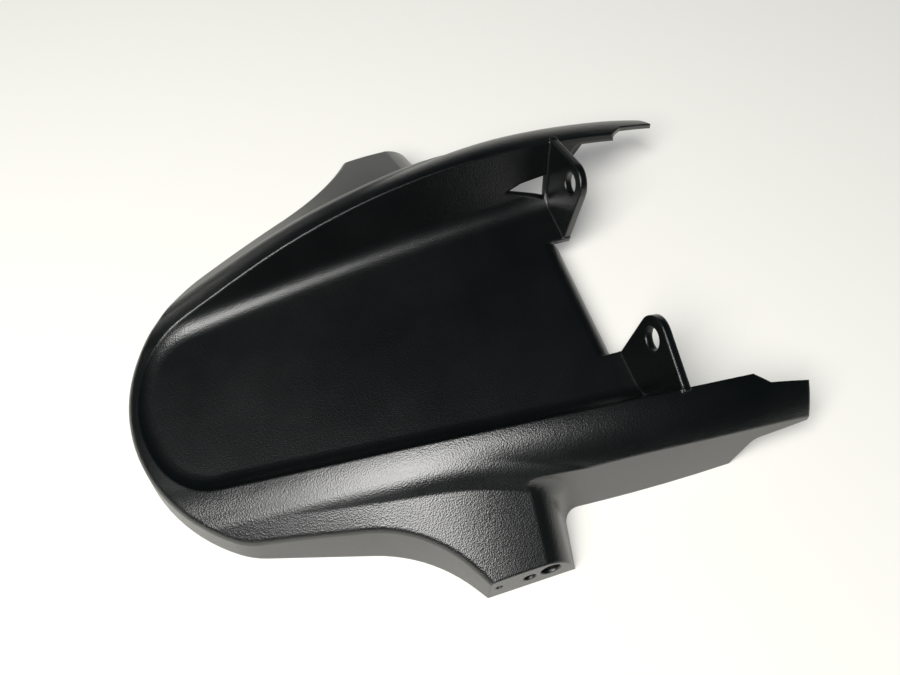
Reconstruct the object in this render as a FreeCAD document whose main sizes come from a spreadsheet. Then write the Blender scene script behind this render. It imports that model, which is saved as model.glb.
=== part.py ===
# Rear hugger: a one-piece moulded guard that follows the arc of a wheel.
# It is a thin shell with a rounded tip, a sunken trough, two raised rails that run on
# as arms, a wing on each side for an indicator, and two upright ears with bolt holes.
# X runs from the tip to the arms, Y across, Z up. The rim of the skirt stands on Z = 0.
import FreeCAD, Part
import math
import os

doc = FreeCAD.newDocument("rear_hugger")
V = FreeCAD.Vector

# Driving sizes, in millimetres and degrees
SIZES = [
    ("front_reach", 160.0),        # origin to the tip
    ("rear_reach", 160.0),         # origin to the ends of the arms
    ("wall", 3.0),                 # skin of the moulding
    ("crown_top", 51.8),           # highest point of the rails
    ("crown_peak", 27.0),          # where that point lies along X
    ("crown_radius", 405.0),       # arc of the rails along the wheel, before that point
    ("crown_rear_radius", 470.0),  # and behind it
    ("crown_straight_to", -90.0),  # from the tip to here the rails run straight
    ("crown_camber", 4.2),         # rise of the tip's rim in the middle
    ("trough_rear_half", 66.5),    # half width of the trough at the arms' ends, taken down to the ground
    ("trough_lean", 25.0),         # lean of its walls
    ("trough_corner", 12.0),       # round between its walls and its floor
    ("trough_tip_gap", 8.0),       # rim between the trough and the tip
    ("trough_tip_sweep", 21.2),    # angle from the middle to where its tip arc turns into its shoulder
    ("tip_rim", 26.0),             # how much smaller its tip arc is than the skirt's, at the ground
    ("shoulder_rim", 18.0),        # and its shoulder
    ("floor_top", 20.4),           # highest point of the floor
    ("floor_peak", -40.0),         # where that point lies along X
    ("floor_radius", 2000.0),      # arc of the floor
    ("lip_round", 1.8),            # round of the lip, where the rail's band meets the trough
    ("lip_overlap", 4.0),          # how far the rail's band is carried into the trough before it is cut
    ("front_band", 14.5),          # width of the rail's band in front of the wing
    ("front_band_drop", 4.2),      # and its fall
    ("rear_band", 29.0),           # width of the band behind the wing, past the side wall
    ("rear_band_drop", 19.5),      # and its fall
    ("front_swell", 0.3),          # how far the band bulges in front of the wing
    ("rear_swell", 3.6),           # and behind it
    ("band_blend_start", -20.0),   # where the front band starts to turn into the rear one
    ("band_blend_end", 70.0),
    ("style_start", -108.0),       # start of the step in the side
    ("style_full", 0.0),           # where the step has its full depth
    ("step_depth", 8.1),
    ("step_run", 7.1),
    ("step_start_depth", 1.3),     # the same at its start
    ("step_start_run", 2.5),
    ("step_round", 4.0),           # setback of the round on the step's upper edge
    ("tip_slope", 33.0),           # slope of the lower side at the tip
    ("tip_slope_to", -75.0),       # where that slope ends
    ("wing_slope", 26.0),          # slope of the wing
    ("wing_slope_from", -20.0),    # where that slope is reached
    ("skirt_draft", 4.0),
    ("skirt_round", 4.0),
    ("tip_radius", 92.0),          # plan of the tip, at the ground
    ("tip_sweep", 54.4),           # angle from the middle to where the tip arc turns into the shoulder
    ("shoulder_radius", 42.0),
    ("flare_x", -35.9),            # where the side turns out into the wing
    ("flare_half", 103.7),
    ("flare_radius", 75.0),
    ("wing_half", 131.6),          # middle to the wing's end face
    ("wing_front", -17.4),
    ("wing_back", 25.4),           # foot of the wing's back, at the end face
    ("wing_back_lean", 15.0),
    ("wing_back_round", 17.0),     # round from the back into the wing's top
    ("wing_back_leave", 14.0),     # slope at which that round leaves the top
    ("wing_root_x", 31.2),         # foot of the back, at the side wall
    ("wing_root_half", 103.3),
    ("wing_root_radius", 8.0),
    ("end_wall", 4.0),             # wall behind the wing's end face
    ("side_half", 106.7),          # half width over the side walls behind the wing
    ("side_peak", 112.0),          # where the side walls are widest
    ("side_radius", 870.0),
    ("lip_return", 4.0),           # height of the flange that stays under the rail behind the ears
    ("tail_reach", 10.0),          # how far the trough's walls run on behind the ears
    ("tail_round", 6.0),
    ("relief_gap", 0.5),           # how far that opening runs past the wall's back
    ("ear_x", 93.4),               # ear: middle of the hole on its front face
    ("ear_half", 52.0),
    ("ear_height", 45.0),
    ("ear_lean", 13.4),
    ("ear_thickness", 4.0),
    ("ear_hole", 12.0),
    ("ear_boss", 11.5),            # round of the ear about its hole
    ("ear_inner", 39.0),           # where the ear's inner edge meets the floor, from the middle
    ("ear_outer", 82.0),           # where its outer edge meets the rail
    ("ear_outer_rise", 3.5),       # and how far up the ear that is, from the hole
    ("gap_half", 38.5),            # half of the opening between the ears
    ("roll_start", 74.0),          # where the floor starts to roll down between the ears
    ("roll_radius", 10.0),
    ("roll_edge", 5.0),            # height of the rolled edge
    ("roll_flat_half", 31.0),      # half of that edge, between its corners
    ("roll_corner_height", 14.0),
    ("floor_tail_half", 62.0),     # half width of the floor at the ears
    ("notch_start", 131.8),        # plan of the notch in the inner edge of the arms
    ("notch_end", 139.0),
    ("arm_inner", 88.0),
    ("arm_tip_inner", 90.0),
    ("arm_slant", 6.0),            # set back of the arm's outer corner
    ("hem_foot", 116.5),           # where the side wall starts to rise at the rear
    ("hem_rise", 126.0),
    ("hem_height", 18.4),          # lower edge of the arms
    ("hem_round", 6.0),
    ("window_front", 62.7),        # three-cornered window in the trough's wall, before the ear
    ("window_front_height", 28.3),
    ("window_mid", 73.3),
    ("window_top", 30.7),
    ("window_bottom", 18.7),
    ("window_gap", 1.2),           # from the window to the ear
    ("indicator_x", 12.5),         # indicator stem
    ("indicator_height", 12.35),
    ("indicator_hole", 10.0),
    ("cable_x", 2.5),              # its cable
    ("cable_height", 10.8),
    ("cable_hole", 6.5),
    ("peg_x", -12.1),              # its locating peg
    ("peg_height", 11.2),
    ("peg_hole", 3.5),
    ("margin", 15.0),              # how far tools run past the shape that they cut
]

sheet = doc.addObject("Spreadsheet::Sheet", "Sizes")
for row, (alias, value) in enumerate(SIZES, start=1):
    sheet.set("A%d" % row, alias)
    sheet.set("B%d" % row, str(value))
    sheet.setAlias("B%d" % row, alias)
doc.recompute()


def size(alias):
    return float(sheet.get(alias))


def tangent(degrees):
    return math.tan(math.radians(degrees))


def blend(x, start, end):
    """0 before start, 1 after end, with a smooth run between."""
    share = min(1.0, max(0.0, (x - start) / (end - start)))
    return share * share * (3.0 - 2.0 * share)


def between(low, high, share):
    return low + (high - low) * share


def feature(name, shape):
    made = doc.addObject("Part::Feature", name)
    made.Shape = shape
    return made


wall = size("wall")
margin = size("margin")

# Plan of the trough and of the skirt at the ground: a tip arc, a shoulder arc and a straight side


def nose(tip_x, tip_radius, tip_sweep, shoulder_radius, side_point):
    """Tip and shoulder arcs of an outline, and the way its side faces, which touches the shoulder."""
    sweep = math.radians(tip_sweep)
    contact = V(-math.cos(sweep), math.sin(sweep), 0)
    tip_centre = V(tip_x + tip_radius, 0, 0)
    shoulder_centre = tip_centre + contact * (tip_radius - shoulder_radius)
    gap = side_point - shoulder_centre
    facing = math.atan2(gap.y, gap.x) + math.acos(shoulder_radius / gap.Length)
    outward = V(math.cos(facing), math.sin(facing), 0)
    return tip_centre, shoulder_centre, contact, outward


# Guide lines of the skin: each gives a place across (y) and a height (z) at x


def lip_height(x):
    on_arc = max(x, size("crown_straight_to"))
    away = on_arc - size("crown_peak")
    radius = size("crown_rear_radius" if away > 0 else "crown_radius")
    fall = math.sqrt(radius ** 2 - away ** 2)
    return size("crown_top") - radius + fall - (x - on_arc) * away / fall


trough_side = V(size("rear_reach"), size("trough_rear_half"), 0)
trough_tip_radius = size("tip_radius") - size("tip_rim")
trough_shoulder_radius = size("shoulder_radius") - size("shoulder_rim")
trough_tip_height = lip_height(-size("front_reach"))
trough_tip = size("trough_tip_gap") - size("front_reach") + trough_tip_height * tangent(size("trough_lean"))
trough_sweep = size("trough_tip_sweep")
trough_nose = nose(trough_tip, trough_tip_radius, trough_sweep, trough_shoulder_radius, trough_side)
trough_taper = -trough_nose[3].x / trough_nose[3].y


def lip_line(x):
    height = lip_height(x)
    ground = trough_side.y + (x - trough_side.x) * trough_taper
    return V(x, ground + height * tangent(size("trough_lean")), height)


def band_edge(x):
    """Outer edge of the rail's band."""
    share = blend(x, size("band_blend_start"), size("band_blend_end"))
    width = between(size("front_band"), size("rear_band"), share)
    drop = between(size("front_band_drop"), size("rear_band_drop"), share)
    return lip_line(x) + V(0, width, -drop)


def step_foot(x):
    """Foot of the step in the side, which grows from nothing at its start."""
    share = (x - size("style_start")) / (size("style_full") - size("style_start"))
    share = min(1.0, max(0.0, share))
    run = between(size("step_start_run"), size("step_run"), share)
    drop = between(size("step_start_depth"), size("step_depth"), share)
    return band_edge(x) + V(0, run, -drop)


def side_height(x, y):
    """Height of the lower side, which is the wing's top."""
    foot = step_foot(x)
    share = blend(x, size("tip_slope_to"), size("wing_slope_from"))
    slope = between(size("tip_slope"), size("wing_slope"), share)
    return foot.z - (y - foot.y) * tangent(slope)


def side_edge(x):
    """A point on the lower side, well outside the outline."""
    y = size("wing_half") + margin
    return V(x, y, side_height(x, y))


def offset_line(points, depth):
    """The polyline moved towards the inside of the shell by depth, in its section plane."""
    moved = []
    for start, end in zip(points[:-1], points[1:]):
        along = (end - start).normalize()
        inward = V(0, along.z, -along.y)
        moved.append((start + inward * depth, along))
    line = [moved[0][0]]
    for (before, first), (after, second) in zip(moved[:-1], moved[1:]):
        cross = first.y * second.z - first.z * second.y
        gap = after - before
        if abs(cross) < 1e-6:
            line.append(after)
        else:
            line.append(before + first * ((gap.y * second.z - gap.z * second.y) / cross))
    line.append(points[-1] + V(0, moved[-1][1].z, -moved[-1][1].y) * depth)
    return line


least_round = 0.8                  # setback that the step's round keeps inside the shell
step_share = 0.6                   # the most that the round may take of the step's face


def skin_section(x, depth):
    """Closed section of everything under the skin, at depth below it."""
    lip, edge, foot, side = offset_line([lip_line(x), band_edge(x), step_foot(x), side_edge(x)], depth)
    rounding = max(least_round, size("step_round") - depth)
    before = edge + (lip - edge).normalize() * rounding
    after = edge + (foot - edge).normalize() * min(rounding, step_share * (foot - edge).Length)
    along = (before - lip).normalize()
    share = blend(x, size("band_blend_start"), size("band_blend_end"))
    swell = V(0, -along.z, along.y) * between(size("front_swell"), size("rear_swell"), share)
    corner = Part.BezierCurve()
    corner.setPoles([before, edge, after])
    band = Part.Arc(lip, (lip + before) * 0.5 + swell, before).toShape().Curve
    turn = FreeCAD.Rotation(V(1, 0, 0), math.degrees(size("lip_overlap") / band.Radius))
    start = band.Center + turn.multVec(lip - band.Center)
    middle = V(x, 0, start.z + size("crown_camber"))
    ground = V(x, side.y, -10.0 * margin)
    half = [
        Part.Arc(start, (lip + before) * 0.5 + swell, before).toShape(),
        corner.toShape(),
        Part.LineSegment(after, foot).toShape(),
        Part.LineSegment(foot, side).toShape(),
        Part.LineSegment(side, ground).toShape(),
    ]
    other = [edge_shape.mirror(V(), V(0, 1, 0)) for edge_shape in half]
    top = Part.Arc(V(x, -start.y, start.z), middle, start).toShape()
    base = Part.LineSegment(ground, V(x, -ground.y, ground.z)).toShape()
    return Part.Wire(Part.__sortEdges__([top] + half + [base] + other))


def skin_solid(depth):
    first = -size("front_reach") - margin
    last = size("rear_reach") + margin
    count = 14
    stations = [between(first, last, number / (count - 1)) for number in range(count)]
    return Part.makeLoft([skin_section(x, depth) for x in stations], True, False)


# Plan outlines: the nose and the side, each moved in by the same inset


def arc_between(centre, radius, first, last):
    """Arc round the centre from one direction to another, the short way."""
    middle = (first + last).normalize()
    return Part.Arc(centre + first * radius, centre + middle * radius, centre + last * radius).toShape()


def nose_edges(shape, tip_radius, shoulder_radius, inset):
    tip_centre, shoulder_centre, contact, outward = shape
    edges = [
        arc_between(tip_centre, tip_radius - inset, V(-1, 0, 0), contact),
        arc_between(shoulder_centre, shoulder_radius - inset, contact, outward),
    ]
    return edges, shoulder_centre + outward * (shoulder_radius - inset)


def line(start, end):
    return Part.LineSegment(start, end).toShape()


def closed_outline(half, end, z):
    """The half outline and its mirror image, closed at the rear end and lifted to z."""
    other = [edge.mirror(V(), V(0, 1, 0)) for edge in half]
    edges = half + other + [line(end, V(end.x, -end.y, 0))]
    wire = Part.Wire(Part.__sortEdges__(edges))
    wire.translate(V(0, 0, z))
    return wire


def crossing(first_point, first, second_point, second):
    cross = first.x * second.y - first.y * second.x
    gap = second_point - first_point
    return first_point + first * ((gap.x * second.y - gap.y * second.x) / cross)


def skirt_wire(z, depth):
    """Outline of the skirt at height z, moved in by depth, with the wings carried on to the rear."""
    draft = depth + z * tangent(size("skirt_draft"))
    end_y = size("wing_half") - depth / wall * size("end_wall")
    flare = V(size("flare_x"), size("flare_half"), 0)
    tip_radius = size("tip_radius")
    shoulder_radius = size("shoulder_radius")
    shape = nose(-size("front_reach"), tip_radius, size("tip_sweep"), shoulder_radius, flare)
    edges, at_side = nose_edges(shape, tip_radius, shoulder_radius, draft)
    outward = shape[3]
    # The flare turns the side out into the front of the wing
    front_along = (V(size("wing_front"), size("wing_half"), 0) - flare).normalize()
    front_outward = V(-front_along.y, front_along.x, 0)
    flare_radius = size("flare_radius")
    setback = flare_radius * math.tan(outward.getAngle(front_outward) / 2.0)
    side_along = V(outward.y, -outward.x, 0)
    flare_centre = flare - side_along * setback + outward * flare_radius
    flare_start = flare_centre - outward * (flare_radius + draft)
    flare_end = flare_centre - front_outward * (flare_radius + draft)
    front = crossing(flare_end, front_along, V(0, end_y, 0), V(1, 0, 0))
    end = V(size("rear_reach") + margin, end_y, 0)
    edges.append(line(at_side, flare_start))
    edges.append(arc_between(flare_centre, flare_radius + draft, outward * -1, front_outward * -1))
    edges.append(line(flare_end, front))
    edges.append(line(front, end))
    return closed_outline(edges, end, z)


def back_foot(y):
    """Foot of the wing's back on the ground, along X."""
    share = (size("wing_half") - y) / (size("wing_half") - size("wing_root_half"))
    return between(size("wing_back"), size("wing_root_x"), share)


def back_round(y):
    """Middle of the round that rolls the wing's back over into its top, across at y."""
    lean = math.radians(size("wing_back_lean"))
    leave = math.radians(size("wing_back_leave"))
    radius = size("wing_back_round")
    setback = radius * (1.0 - math.sin(lean + leave)) / math.cos(lean)
    top_x = back_foot(y) - setback
    for closer in range(4):
        top_x = back_foot(y) - setback - side_height(top_x, y) * math.tan(lean)
    return V(top_x, y, side_height(top_x, y)) - V(math.sin(leave), 0, math.cos(leave)) * radius


side_centre = V(size("side_peak"), size("side_half") - size("side_radius"), 0)


def side_wall_radius(z, depth):
    return size("side_radius") - depth - z * tangent(size("skirt_draft"))


def outside_wire(z, depth):
    """Outline at height z of the room outside the far side wall, which is moved in by depth."""
    radius = side_wall_radius(z, depth)
    last = size("rear_reach") + 2.0 * margin
    places = [size("flare_x"), (size("flare_x") + last) / 2.0, last]
    on_wall = [V(x, side_centre.y + math.sqrt(radius ** 2 - (x - side_centre.x) ** 2), 0) for x in places]
    out_y = size("wing_half") + 4.0 * margin
    corners = [on_wall[-1], V(last, out_y, 0), V(places[0], out_y, 0), on_wall[0]]
    edges = [Part.Arc(*on_wall).toShape()]
    edges += [line(start, end) for start, end in zip(corners[:-1], corners[1:])]
    wire = Part.Wire(Part.__sortEdges__(edges))
    wire.translate(V(0, 0, z))
    return wire


def trough_wire(z, depth):
    """Outline of the trough at height z, with its walls moved out by depth."""
    lean = math.radians(size("trough_lean"))
    grown = z * math.tan(lean) + depth / math.cos(lean)
    edges, at_side = nose_edges(trough_nose, trough_tip_radius, trough_shoulder_radius, -grown)
    outward = trough_nose[3]
    end = crossing(at_side, V(outward.y, -outward.x, 0), V(size("rear_reach") + margin, 0, 0), V(0, 1, 0))
    edges.append(line(at_side, end))
    return closed_outline(edges, end, z)


# Ways to make the document's features


def common(name, pieces):
    made = doc.addObject("Part::MultiCommon", name)
    made.Shapes = pieces
    doc.recompute()
    return made


def cut(name, base, tool):
    made = doc.addObject("Part::Cut", name)
    made.Base = base
    made.Tool = tool
    doc.recompute()
    return made


def fuse(name, pieces):
    made = doc.addObject("Part::MultiFuse", name)
    made.Shapes = pieces
    doc.recompute()
    return made


def fillet(name, base, radius, chosen):
    """Round the edges of base for which chosen(middle of the edge) holds."""
    made = doc.addObject("Part::Fillet", name)
    made.Base = base
    made.Edges = [
        (number, radius, radius)
        for number, edge in enumerate(base.Shape.Edges, start=1)
        if chosen(edge.valueAt((edge.FirstParameter + edge.LastParameter) / 2.0))
    ]
    doc.recompute()
    return made


def prism(name, edges, direction, length):
    """Closed flat outline, extruded both ways along a direction by half of the length expression."""
    wire = Part.Wire(Part.__sortEdges__(edges))
    outline = feature(name + "_outline", Part.Face(wire))
    made = doc.addObject("Part::Extrusion", name)
    made.Base = outline
    made.DirMode = "Custom"
    made.Dir = direction
    made.setExpression("LengthFwd", length)
    made.Symmetric = True
    made.Solid = True
    doc.recompute()
    return made


def polygon(points):
    return [line(start, end) for start, end in zip(points, points[1:] + points[:1])]


def drill(name, alias, start, direction, length):
    """Cylinder with its diameter from the sheet and its length from an expression."""
    made = doc.addObject("Part::Cylinder", name)
    made.setExpression("Radius", "Sizes.%s / 2" % alias)
    made.setExpression("Height", length)
    made.Placement = FreeCAD.Placement(start, FreeCAD.Rotation(V(0, 0, 1), direction))
    doc.recompute()
    return made


def mirrored(name, source):
    made = doc.addObject("Part::Mirroring", name)
    made.Source = source
    made.Base = V(0, 0, 0)
    made.Normal = V(0, 1, 0)
    doc.recompute()
    return made


# The filled outer form: skin over the skirt's outline, without the room behind each wing
sky = size("crown_top") + size("crown_camber") + wall
rear = size("rear_reach") + margin
ACROSS = "2 * (Sizes.wing_half + Sizes.margin)"
THROUGH = "4 * (Sizes.crown_top + Sizes.margin)"
touching = 0.02                    # the most that a point on a face may be off it
beside = 0.1                       # and the least that a point beside it is


def behind(name, depth):
    """Room behind the far wing and outside the side wall, moved in by depth, with a round between."""
    lean = math.radians(size("wing_back_lean"))
    leave = math.radians(size("wing_back_leave"))
    radius = size("wing_back_round") - depth
    at_end = back_round(size("wing_half"))
    at_root = back_round(size("wing_root_half"))
    middle = (at_end + at_root) * 0.5
    back_out = V(math.cos(lean), 0, math.sin(lean))
    top_out = V(math.sin(leave), 0, math.cos(leave))
    low = middle + back_out * radius
    high = middle + top_out * radius
    deep = low + V(math.tan(lean), 0, -1) * (low.z + 3.0 * margin)
    before = high + V(-1, 0, math.tan(leave)) * margin
    roof = V(before.x, middle.y, sky + 2.0 * margin)
    far = rear + 2.0 * margin
    corners = [low, deep, V(far, middle.y, deep.z), V(far, middle.y, roof.z), roof, before, high]
    profile = [line(start, end) for start, end in zip(corners[:-1], corners[1:])]
    profile.append(arc_between(middle, radius, top_out, back_out))
    along = (at_end - at_root).normalize()
    back_length = "2 * (Sizes.wing_half - Sizes.wing_root_half + Sizes.margin)"
    back = prism(name + "_back", profile, along, back_length)
    levels = (-2.0 * margin, sky + margin)
    outside = feature(name + "_outside", Part.makeLoft([outside_wire(z, depth) for z in levels], True, True))
    sharp = common(name + "_sharp", [back, outside])

    def on_root(point):
        """True where the wing's back and its round meet the side wall."""
        away = math.hypot(point.x - side_centre.x, point.y - side_centre.y) - side_wall_radius(point.z, depth)
        inward = point - middle - along * ((point.y - middle.y) / along.y)
        reach = (inward.dot(back_out), inward.Length, inward.dot(top_out))
        return abs(away) < touching and min(abs(distance - radius) for distance in reach) < touching

    return fillet(name, sharp, size("wing_root_radius") + depth, on_root)


def skirt(name, foot, depth):
    """Skirt from the height of its foot up, moved in by depth."""
    wires = [skirt_wire(foot, depth), skirt_wire(sky, depth)]
    plan = feature(name + "_plan", Part.makeLoft(wires, True, True))
    behind_far = behind(name + "_behind_far", depth)
    behind_near = mirrored(name + "_behind_near", behind_far)
    return cut(name, plan, fuse(name + "_behind", [behind_far, behind_near]))


skin_outer = feature("skin_outer", skin_solid(0.0))
skin_inner = feature("skin_inner", skin_solid(wall))
skirt_outer = skirt("skirt_outer", 0.0, 0.0)
skirt_inner = skirt("skirt_inner", -margin, wall)
block_sharp = common("block_sharp", [skin_outer, skirt_outer])


# Long edges under the skin are rounded by a tool that follows them, from one section to the next


def on_shell(point, shape):
    return min(face.distToShape(Part.Vertex(point))[0] for face in shape.Faces) < touching


def facing(shape, point, way, along):
    """Direction, square to the edge, in which the shape's face at the point faces on the given side."""
    face = min(shape.Faces, key=lambda one: one.distToShape(Part.Vertex(point))[0])
    normal = face.normalAt(*face.Surface.parameter(point))
    normal = (normal - along * normal.dot(along)).normalize()
    return normal if normal.dot(way) > 0 else normal * -1


def away_from(way, across):
    """The given direction or its opposite, whichever leads away from the way."""
    return across if across.dot(way) < 0 else across * -1


def rounding_section(point, along, wall_out, skin_out, radius):
    """Section of the tool: an arc from the wall to the skin, and a way round outside the part."""
    down_wall = away_from(skin_out, along.cross(wall_out))
    over_skin = away_from(wall_out, along.cross(skin_out))
    half_angle = down_wall.getAngle(over_skin) / 2.0
    setback = radius / math.tan(half_angle)
    depth = rounding_bite * radius * (1.0 / math.sin(half_angle) - 1.0)
    on_wall = point + down_wall * setback
    on_skin = point + over_skin * setback
    corners = [on_skin, on_skin + skin_out * radius, point + (skin_out + wall_out) * radius]
    corners += [on_wall + wall_out * radius, on_wall]
    edges = [Part.Arc(on_wall, point + (down_wall + over_skin).normalize() * depth, on_skin).toShape()]
    edges += [line(start, end) for start, end in zip(corners[:-1], corners[1:])]
    return Part.Wire(edges)


rounding_bite = 1.1                # the tool cuts a little deeper than a true round, for clean edges
rounding_points = 70
rounding_pitch = 3.0               # from point to point along an edge


def rounding(name, base, wall_shape, wall_side, radius, chosen):
    """Tool that rounds the edges of base between the wall and the skin for which chosen(middle) holds."""
    points = []
    for edge in base.Shape.Edges:
        middle = edge.valueAt((edge.FirstParameter + edge.LastParameter) / 2.0)
        if chosen(middle) and on_shell(middle, skin_outer.Shape) and on_shell(middle, wall_shape):
            points += edge.discretize(Number=2 + int(edge.Length / rounding_pitch))
    near = sorted([point for point in points if point.y < -beside], key=lambda point: -point.x)
    far = sorted([point for point in points if point.y > beside], key=lambda point: point.x)
    path = near[:1]
    for point in near[1:] + far:
        if (point - path[-1]).Length > beside:
            path.append(point)
    stations = Part.makePolygon(path).discretize(Number=rounding_points)
    sections = []
    for before, point, after in zip(stations[:-2], stations[1:-1], stations[2:]):
        along = (after - before).normalize()
        outward = point - V(max(point.x, size("tip_radius") - size("front_reach")), 0, point.z)
        wall_out = facing(wall_shape, point, outward * wall_side, along)
        skin_out = facing(skin_outer.Shape, point, V(0, 0, 1), along)
        sections.append(rounding_section(point, along, wall_out, skin_out, radius))
    # The tool runs on past both ends
    first = sections[0].copy()
    first.translate((stations[0] - stations[1]) * 1.5)
    last = sections[-1].copy()
    last.translate((stations[-1] - stations[-2]) * 1.5)
    return feature(name, Part.makeLoft([first] + sections + [last], True, False))


def before_wing(middle):
    return middle.x < size("peg_x") and abs(middle.y) < size("wing_half") - beside


skirt_tool = rounding("skirt_tool", block_sharp, skirt_outer.Shape, 1.0, size("skirt_round"), before_wing)
block = cut("block", block_sharp, skirt_tool)


# The trough: leaning walls round an arched floor


def floor_height(x):
    radius = size("floor_radius")
    return size("floor_top") - radius + math.sqrt(radius ** 2 - (x - size("floor_peak")) ** 2)


def trough_walls(name, depth):
    wires = [trough_wire(-margin, depth), trough_wire(sky, depth)]
    return feature(name, Part.makeLoft(wires, True, True))


def trough(name, depth):
    """Room of the trough, with its walls and floor moved out by depth."""
    walls = trough_walls(name + "_walls", depth)
    floor = doc.addObject("Part::Cylinder", name + "_floor")
    floor.setExpression("Radius", "Sizes.floor_radius - %g" % depth)
    floor.setExpression("Height", ACROSS)
    floor.Placement = FreeCAD.Placement(
        V(size("floor_peak"), size("wing_half") + margin, size("floor_top") - size("floor_radius")),
        FreeCAD.Rotation(V(1, 0, 0), 90))
    doc.recompute()
    sharp = cut(name + "_sharp", walls, floor)

    def on_floor(middle):
        return abs(middle.z - floor_height(middle.x) + depth) < beside and middle.x < rear - beside

    return fillet(name, sharp, size("trough_corner") + depth, on_floor)


trough_room = trough("trough_room", 0.0)
trough_back = trough("trough_back", wall)
trough_middle = trough("trough_middle", wall / 2.0)
body_sharp = cut("body_sharp", block, trough_room)


def before_rear(middle):
    return middle.x < rear - beside


lip_tool = rounding("lip_tool", body_sharp, trough_room.Shape, -1.0, size("lip_round"), before_rear)
body = cut("body", body_sharp, lip_tool)
inside = common("inside", [skin_inner, skirt_inner])
hollow = cut("hollow", inside, trough_back)
shell = cut("shell", body, hollow)

# Ear plane: up along the plate, and the way it faces
lean = math.radians(size("ear_lean"))
ear_up = V(math.sin(lean), 0, math.cos(lean))
ear_face = V(math.cos(lean), 0, -math.sin(lean))
ear_middle = V(size("ear_x"), size("ear_half"), size("ear_height"))


def on_ear(behind, z):
    """Point of the ear's plane in the middle of the part, at a distance behind its front face."""
    start = V(ear_middle.x, 0, ear_middle.z) + ear_face * behind
    return start + ear_up * ((z - start.z) / ear_up.z)


# Behind the ears the trough is open, and only a flange stays under each rail


def lip_arc(first, last, drop):
    points = [V(x, 0, lip_height(x) - drop) for x in (first, (first + last) / 2.0, last)]
    return Part.Arc(*points).toShape(), points[0], points[-1]


tail_line = size("ear_thickness") + size("tail_reach")
tail_top = on_ear(tail_line, lip_height(on_ear(tail_line, size("ear_height")).x) - size("lip_return"))
flange_edge, flange_start, flange_end = lip_arc(tail_top.x, rear + margin, size("lip_return"))
tail_low = on_ear(tail_line, -2.0 * margin)
relief_edges = [
    flange_edge,
    line(flange_end, V(flange_end.x, 0, tail_low.z)),
    line(V(flange_end.x, 0, tail_low.z), tail_low),
    line(tail_low, flange_start),
]
relief_sharp = prism("relief_sharp", relief_edges, V(0, 1, 0), ACROSS)


def at_tail_top(middle):
    return (V(middle.x, 0, middle.z) - flange_start).Length < beside


relief_round = fillet("relief_round", relief_sharp, size("tail_round"), at_tail_top)
relief_walls = trough_walls("relief_walls", wall + size("relief_gap"))
relief = common("relief", [relief_round, relief_walls])

# The floor ends at the ears' backs, and further in between them, where it rolls down
back_low = on_ear(size("ear_thickness"), -margin)
back_high = on_ear(size("ear_thickness"), size("ear_height"))
floor_tail = prism(
    "floor_tail",
    polygon([back_low, back_high, V(rear, 0, back_high.z), V(rear, 0, back_low.z)]),
    V(0, 1, 0), "2 * Sizes.floor_tail_half")
roll_top = V(size("roll_start"), 0, floor_height(size("roll_start")))
floor_up = (roll_top - V(size("floor_peak"), 0, size("floor_top") - size("floor_radius"))).normalize()
roll_centre = roll_top - floor_up * size("roll_radius")
floor_gap = prism(
    "floor_gap",
    polygon([
        roll_centre - floor_up * margin,
        roll_top + floor_up * margin,
        V(rear, 0, roll_top.z + margin),
        V(rear, 0, roll_centre.z - margin),
    ]),
    V(0, 1, 0), "2 * Sizes.gap_half")
inner_radius = size("roll_radius") - wall
outer_low = V(roll_centre.x + size("roll_radius"), 0, size("roll_edge"))
inner_low = V(roll_centre.x + inner_radius, 0, size("roll_edge"))
roll_profile = [
    arc_between(roll_centre, size("roll_radius"), floor_up, V(1, 0, 0)),
    arc_between(roll_centre, inner_radius, floor_up, V(1, 0, 0)),
    line(roll_centre + floor_up * size("roll_radius"), roll_centre + floor_up * inner_radius),
    line(roll_centre + V(size("roll_radius"), 0, 0), outer_low),
    line(roll_centre + V(inner_radius, 0, 0), inner_low),
    line(outer_low, inner_low),
]
roll_bar = prism("roll_bar", roll_profile, V(0, 1, 0), "2 * Sizes.gap_half")
roll_front = polygon([
    V(0, -size("roll_flat_half"), 0),
    V(0, size("roll_flat_half"), 0),
    V(0, size("roll_flat_half"), size("roll_edge")),
    V(0, size("gap_half"), size("roll_corner_height")),
    V(0, size("gap_half"), roll_top.z + margin),
    V(0, -size("gap_half"), roll_top.z + margin),
    V(0, -size("gap_half"), size("roll_corner_height")),
    V(0, -size("roll_flat_half"), size("roll_edge")),
])
roll_limit = prism("roll_limit", roll_front, V(1, 0, 0), "4 * Sizes.roll_start")
roll = common("roll", [roll_bar, roll_limit])

# Ends of the arms: notch in the inner edge, slanted ends, and the rise of the lower edge
notch_half = lip_line(size("notch_start")).y
notch = prism(
    "notch",
    polygon([
        V(size("notch_start"), notch_half, 0),
        V(size("notch_end"), size("arm_inner"), 0),
        V(size("rear_reach"), size("arm_tip_inner"), 0),
        V(rear, size("arm_tip_inner"), 0),
        V(rear, -size("arm_tip_inner"), 0),
        V(size("rear_reach"), -size("arm_tip_inner"), 0),
        V(size("notch_end"), -size("arm_inner"), 0),
        V(size("notch_start"), -notch_half, 0),
    ]),
    V(0, 0, 1), THROUGH)
arm_ends = prism(
    "arm_ends",
    polygon([
        V(size("rear_reach"), size("arm_tip_inner"), 0),
        V(size("rear_reach") - size("arm_slant"), size("side_half"), 0),
        V(rear + margin, size("side_half") + margin, 0),
        V(rear + margin, -size("side_half") - margin, 0),
        V(size("rear_reach") - size("arm_slant"), -size("side_half"), 0),
        V(size("rear_reach"), -size("arm_tip_inner"), 0),
    ]),
    V(0, 0, 1), THROUGH)
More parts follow.
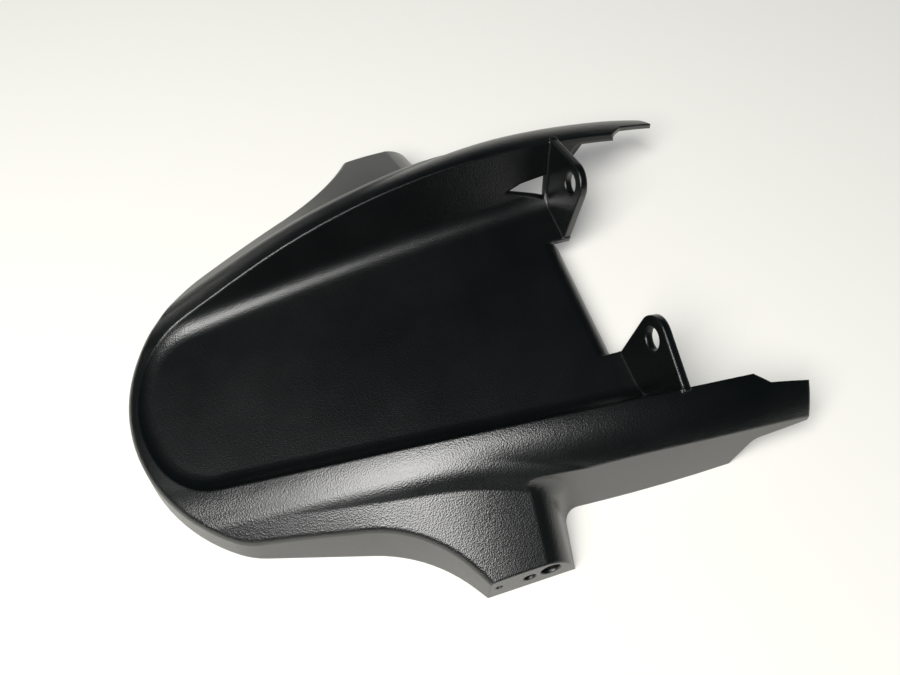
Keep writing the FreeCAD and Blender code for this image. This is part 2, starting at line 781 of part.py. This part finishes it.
hem_sharp = prism(
    "hem_sharp",
    polygon([
        V(size("hem_foot"), 0, -margin),
        V(size("hem_foot"), 0, 0),
        V(size("hem_rise"), 0, size("hem_height")),
        V(rear + margin, 0, size("hem_height")),
        V(rear + margin, 0, -margin),
    ]),
    V(0, 1, 0), ACROSS)


def at_hem_corner(middle):
    return (V(middle.x, 0, middle.z) - V(size("hem_rise"), 0, size("hem_height"))).Length < beside


hem = fillet("hem", hem_sharp, size("hem_round"), at_hem_corner)

# Ears: plates that stand in the trough, each with a round head about its hole


def ear_point(across_ear, along_ear):
    return V(ear_middle.x, across_ear, ear_middle.z) + ear_up * along_ear


def touch(point, side):
    """Where the line from the point (across, along) touches the ear's round head."""
    gap_across = point[0] - size("ear_half")
    gap_along = point[1]
    distance = math.hypot(gap_across, gap_along)
    turn = side * math.acos(size("ear_boss") / distance)
    angle = math.atan2(gap_along, gap_across) + turn
    return size("ear_half") + size("ear_boss") * math.cos(angle), size("ear_boss") * math.sin(angle)


ear_floor = (floor_height(size("ear_x")) - size("ear_height")) / ear_up.z
inner_foot = (size("ear_inner"), ear_floor)
outer_foot = (size("ear_outer"), size("ear_outer_rise"))
inner_touch = touch(inner_foot, -1.0)
outer_touch = touch(outer_foot, 1.0)
ear_deep = ear_floor - margin
ear_top = (size("ear_half"), size("ear_boss"))
ear_out = size("ear_outer") + margin
head = Part.Arc(ear_point(*inner_touch), ear_point(*ear_top), ear_point(*outer_touch)).toShape()
ear_corners = [
    outer_touch,
    outer_foot,
    (ear_out, size("ear_outer_rise")),
    (ear_out, ear_deep),
    (size("ear_inner"), ear_deep),
    inner_foot,
    inner_touch,
]
ear_points = [ear_point(*corner) for corner in ear_corners]
ear_sides = [line(start, end) for start, end in zip(ear_points[:-1], ear_points[1:])]
ear_plate = prism("ear_plate", [head] + ear_sides, ear_face, "Sizes.ear_thickness")
ear_plate.Placement = FreeCAD.Placement(ear_face * (size("ear_thickness") / 2.0), FreeCAD.Rotation())
doc.recompute()
ear = common("ear", [ear_plate, trough_middle])
other_ear = mirrored("other_ear", ear)

# Windows through the trough's walls, just before the ears
rear_top = on_ear(-size("window_gap"), size("window_top"))
rear_bottom = on_ear(-size("window_gap"), size("window_bottom"))
window_bar = prism(
    "window_bar",
    polygon([
        V(size("window_front"), 0, size("window_front_height")),
        V(size("window_mid"), 0, size("window_top")),
        rear_top,
        rear_bottom,
    ]),
    V(0, 1, 0), ACROSS)
window = common("window", [window_bar, relief_walls])

# Put the part together
opened = cut("opened", shell, fuse("openings", [relief, floor_tail, floor_gap, notch, arm_ends, hem, window]))
joined = fuse("joined", [opened, roll, ear, other_ear])
holes = []
for side, word in ((1, "far"), (-1, "near")):
    outward = V(0, side, 0)
    for use in ("indicator", "cable", "peg"):
        inside_end = side * (size("wing_half") - 2.0 * size("end_wall"))
        start = V(size(use + "_x"), inside_end, size(use + "_height"))
        holes.append(drill("%s_%s" % (use, word), use + "_hole", start, outward, "4 * Sizes.end_wall"))
    start = V(ear_middle.x, side * ear_middle.y, ear_middle.z) - ear_face * size("ear_thickness")
    holes.append(drill("ear_bolt_%s" % word, "ear_hole", start, ear_face, "3 * Sizes.ear_thickness"))
hugger = cut("hugger", joined, fuse("holes", holes))

hugger.Label = "hugger"

# Check every feature and write the part
for made in doc.Objects:
    for problem in ("Invalid", "Error"):
        if problem in made.State:
            raise RuntimeError("%s: %s" % (made.Name, made.State))
if hugger.Shape.isNull() or not hugger.Shape.isValid() or len(hugger.Shape.Solids) != 1:
    raise RuntimeError("the part is not one valid solid")
os.makedirs("parts", exist_ok=True)
hugger.Shape.exportStep("parts/%s.step" % hugger.Label)
box = hugger.Shape.optimalBoundingBox(False, False)
print("hugger", len(hugger.Shape.Faces), "faces", round(hugger.Shape.Volume), "mm3", box)
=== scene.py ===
import bpy
from mathutils import Matrix, Vector

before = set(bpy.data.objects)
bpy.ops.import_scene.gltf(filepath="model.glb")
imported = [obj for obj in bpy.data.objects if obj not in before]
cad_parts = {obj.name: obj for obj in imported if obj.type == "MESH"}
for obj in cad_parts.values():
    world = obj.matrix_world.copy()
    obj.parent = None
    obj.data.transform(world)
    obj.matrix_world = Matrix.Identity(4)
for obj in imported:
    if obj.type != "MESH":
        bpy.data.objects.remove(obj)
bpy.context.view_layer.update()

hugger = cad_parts["hugger"]

# Lengths are in metres and powers in watts, unless a comment says otherwise

# Camera: it stands over the near side and looks down across the part
CAMERA_AT = Vector((-0.05806, -0.24734, 0.42015))
CAMERA_RIGHT = Vector((0.95020, -0.30970, -0.03472))
CAMERA_FORWARD = Vector((0.13678, 0.51453, -0.84649))
FOCAL_LENGTH = 920.0               # pixels
IMAGE_WIDTH = 900.0                # pixels
SENSOR_WIDTH = 36.0                # millimetres
NEAREST_SEEN = 0.01


def add_camera():
    data = bpy.data.cameras.new("camera")
    data.sensor_fit = "HORIZONTAL"
    data.sensor_width = SENSOR_WIDTH
    data.lens = SENSOR_WIDTH * FOCAL_LENGTH / IMAGE_WIDTH
    data.clip_start = NEAREST_SEEN
    camera = bpy.data.objects.new("camera", data)
    back = -CAMERA_FORWARD.normalized()
    right = (CAMERA_RIGHT - back * CAMERA_RIGHT.dot(back)).normalized()
    up = back.cross(right)
    turn = Matrix((right, up, back)).transposed().to_4x4()
    camera.matrix_world = Matrix.Translation(CAMERA_AT) @ turn
    bpy.context.scene.collection.objects.link(camera)
    bpy.context.scene.camera = camera


class Nodes:
    """Short words for building a material's node tree."""

    def __init__(self, material):
        material.use_nodes = True
        self.tree = material.node_tree
        self.tree.nodes.clear()

    def add(self, kind, inputs=None, **settings):
        node = self.tree.nodes.new(kind)
        for name, value in settings.items():
            setattr(node, name, value)
        for socket, value in (inputs or {}).items():
            if isinstance(value, bpy.types.NodeSocket):
                self.tree.links.new(value, node.inputs[socket])
            else:
                node.inputs[socket].default_value = value
        return node

    def math(self, operation, first, second):
        return self.add("ShaderNodeMath", {0: first, 1: second}, operation=operation).outputs["Value"]


# Satin black plastic with a fine moulded grain and soft clouds in its tone and gloss
BLACK = (0.0006, 0.0011, 0.0013, 1.0)
BLACK_WORN = (0.0016, 0.0024, 0.0026, 1.0)
GRAIN_SIZE = 0.00070               # from grain to grain
GRAIN_HEIGHT = 0.00008
EDGE_ROUND = 0.0018                # how far the moulded edges look rounded
EDGE_SAMPLES = 8
CLOUDS_PER_METRE = 26.0
CLOUD_DETAIL = 3.0
CLOUD_ROUGHNESS = 0.55
CLOUD_LOW = 0.3                    # range of the clouds over which the gloss changes
CLOUD_HIGH = 0.7
ROUGHNESS_LOW = 0.28
ROUGHNESS_HIGH = 0.33
SHINE = 1.0                        # specular level, where 0.5 is usual


def plastic_material():
    material = bpy.data.materials.new("satin_plastic")
    nodes = Nodes(material)
    place = nodes.add("ShaderNodeTexCoord").outputs["Object"]
    grain = nodes.add("ShaderNodeTexVoronoi", {"Vector": place, "Scale": 1.0 / GRAIN_SIZE})
    cloud = nodes.add("ShaderNodeTexNoise", {
        "Vector": place,
        "Scale": CLOUDS_PER_METRE,
        "Detail": CLOUD_DETAIL,
        "Roughness": CLOUD_ROUGHNESS,
    })
    edges = nodes.add("ShaderNodeBevel", {"Radius": EDGE_ROUND}, samples=EDGE_SAMPLES)
    bump = nodes.add("ShaderNodeBump", {
        "Strength": 1.0,
        "Distance": GRAIN_HEIGHT,
        "Height": grain.outputs["Distance"],
        "Normal": edges.outputs["Normal"],
    })
    tone = nodes.add("ShaderNodeValToRGB", {"Fac": cloud.outputs["Fac"]})
    for element, color in zip(tone.color_ramp.elements, (BLACK, BLACK_WORN)):
        element.color = color
    gloss = nodes.add("ShaderNodeMapRange", {
        "Value": cloud.outputs["Fac"],
        "From Min": CLOUD_LOW,
        "From Max": CLOUD_HIGH,
        "To Min": ROUGHNESS_LOW,
        "To Max": ROUGHNESS_HIGH,
    })
    shader = nodes.add("ShaderNodeBsdfPrincipled", {
        "Base Color": tone.outputs["Color"],
        "Roughness": gloss.outputs["Result"],
        "Normal": bump.outputs["Normal"],
        "Specular IOR Level": SHINE,
    })
    nodes.add("ShaderNodeOutputMaterial", {"Surface": shader.outputs["BSDF"]})
    return material


def dress():
    material = plastic_material()
    hugger.data.materials.clear()
    hugger.data.materials.append(material)


# Stage: a pale floor that shows white to the camera and keeps the shadow
FLOOR_HALF = 30.0
FLOOR_COLOR = (0.73, 0.72, 0.67, 1.0)
FLOOR_ROUGHNESS = 0.9
FLOOR_GLOW = 0.24                  # lifts the lit floor to white and leaves the shadow
GLOW_COLOR = (1.0, 1.0, 1.0, 1.0)


def floor_material():
    material = bpy.data.materials.new("floor")
    nodes = Nodes(material)
    ray = nodes.add("ShaderNodeLightPath").outputs
    paint = nodes.add("ShaderNodeBsdfPrincipled", {
        "Base Color": FLOOR_COLOR, "Roughness": FLOOR_ROUGHNESS, "Specular IOR Level": 0.0})
    # The glow is there for camera, glossy and transmission rays, and not for diffuse ones
    direct = nodes.math("MAXIMUM", ray["Is Camera Ray"], ray["Is Glossy Ray"])
    seen = nodes.math("MAXIMUM", direct, ray["Is Transmission Ray"])
    level = nodes.math("MULTIPLY", seen, FLOOR_GLOW)
    glow = nodes.add("ShaderNodeEmission", {"Color": GLOW_COLOR, "Strength": level})
    both = nodes.add("ShaderNodeAddShader", {0: paint.outputs["BSDF"], 1: glow.outputs["Emission"]})
    nodes.add("ShaderNodeOutputMaterial", {"Surface": both.outputs["Shader"]})
    return material


def add_floor():
    mesh = bpy.data.meshes.new("floor")
    corners = [(-1, -1), (1, -1), (1, 1), (-1, 1)]
    mesh.from_pydata([(x * FLOOR_HALF, y * FLOOR_HALF, 0.0) for x, y in corners], [], [(0, 1, 2, 3)])
    mesh.materials.append(floor_material())
    floor = bpy.data.objects.new("floor", mesh)
    bpy.context.scene.collection.objects.link(floor)


# Light: one large soft lamp, high up beyond the tip on the near side, and a dim room
LAMP_AT = Vector((-0.48, -0.40, 1.04))
LAMP_AIM = Vector((0.0, 0.0, 0.03))
LAMP_WIDTH = 0.68
LAMP_DEPTH = 0.94
LAMP_POWER = 21.0
LAMP_COLOR = (1.0, 0.99, 0.97)
ROOM_COLOR = (0.55, 0.85, 1.0, 1.0)
ROOM_LEVEL = 0.025


def add_lamp():
    data = bpy.data.lights.new("key", "AREA")
    data.shape = "RECTANGLE"
    data.size = LAMP_WIDTH
    data.size_y = LAMP_DEPTH
    data.energy = LAMP_POWER
    data.color = LAMP_COLOR
    lamp = bpy.data.objects.new("key", data)
    lamp.location = LAMP_AT
    lamp.rotation_euler = (LAMP_AIM - LAMP_AT).to_track_quat("-Z", "Y").to_euler()
    bpy.context.scene.collection.objects.link(lamp)


def add_room():
    world = bpy.data.worlds.new("room")
    bpy.context.scene.world = world
    world.use_nodes = True
    background = world.node_tree.nodes["Background"]
    background.inputs["Color"].default_value = ROOM_COLOR
    background.inputs["Strength"].default_value = ROOM_LEVEL


add_camera()
dress()
add_floor()
add_lamp()
add_room()
bpy.context.scene.view_settings.view_transform = "Standard"
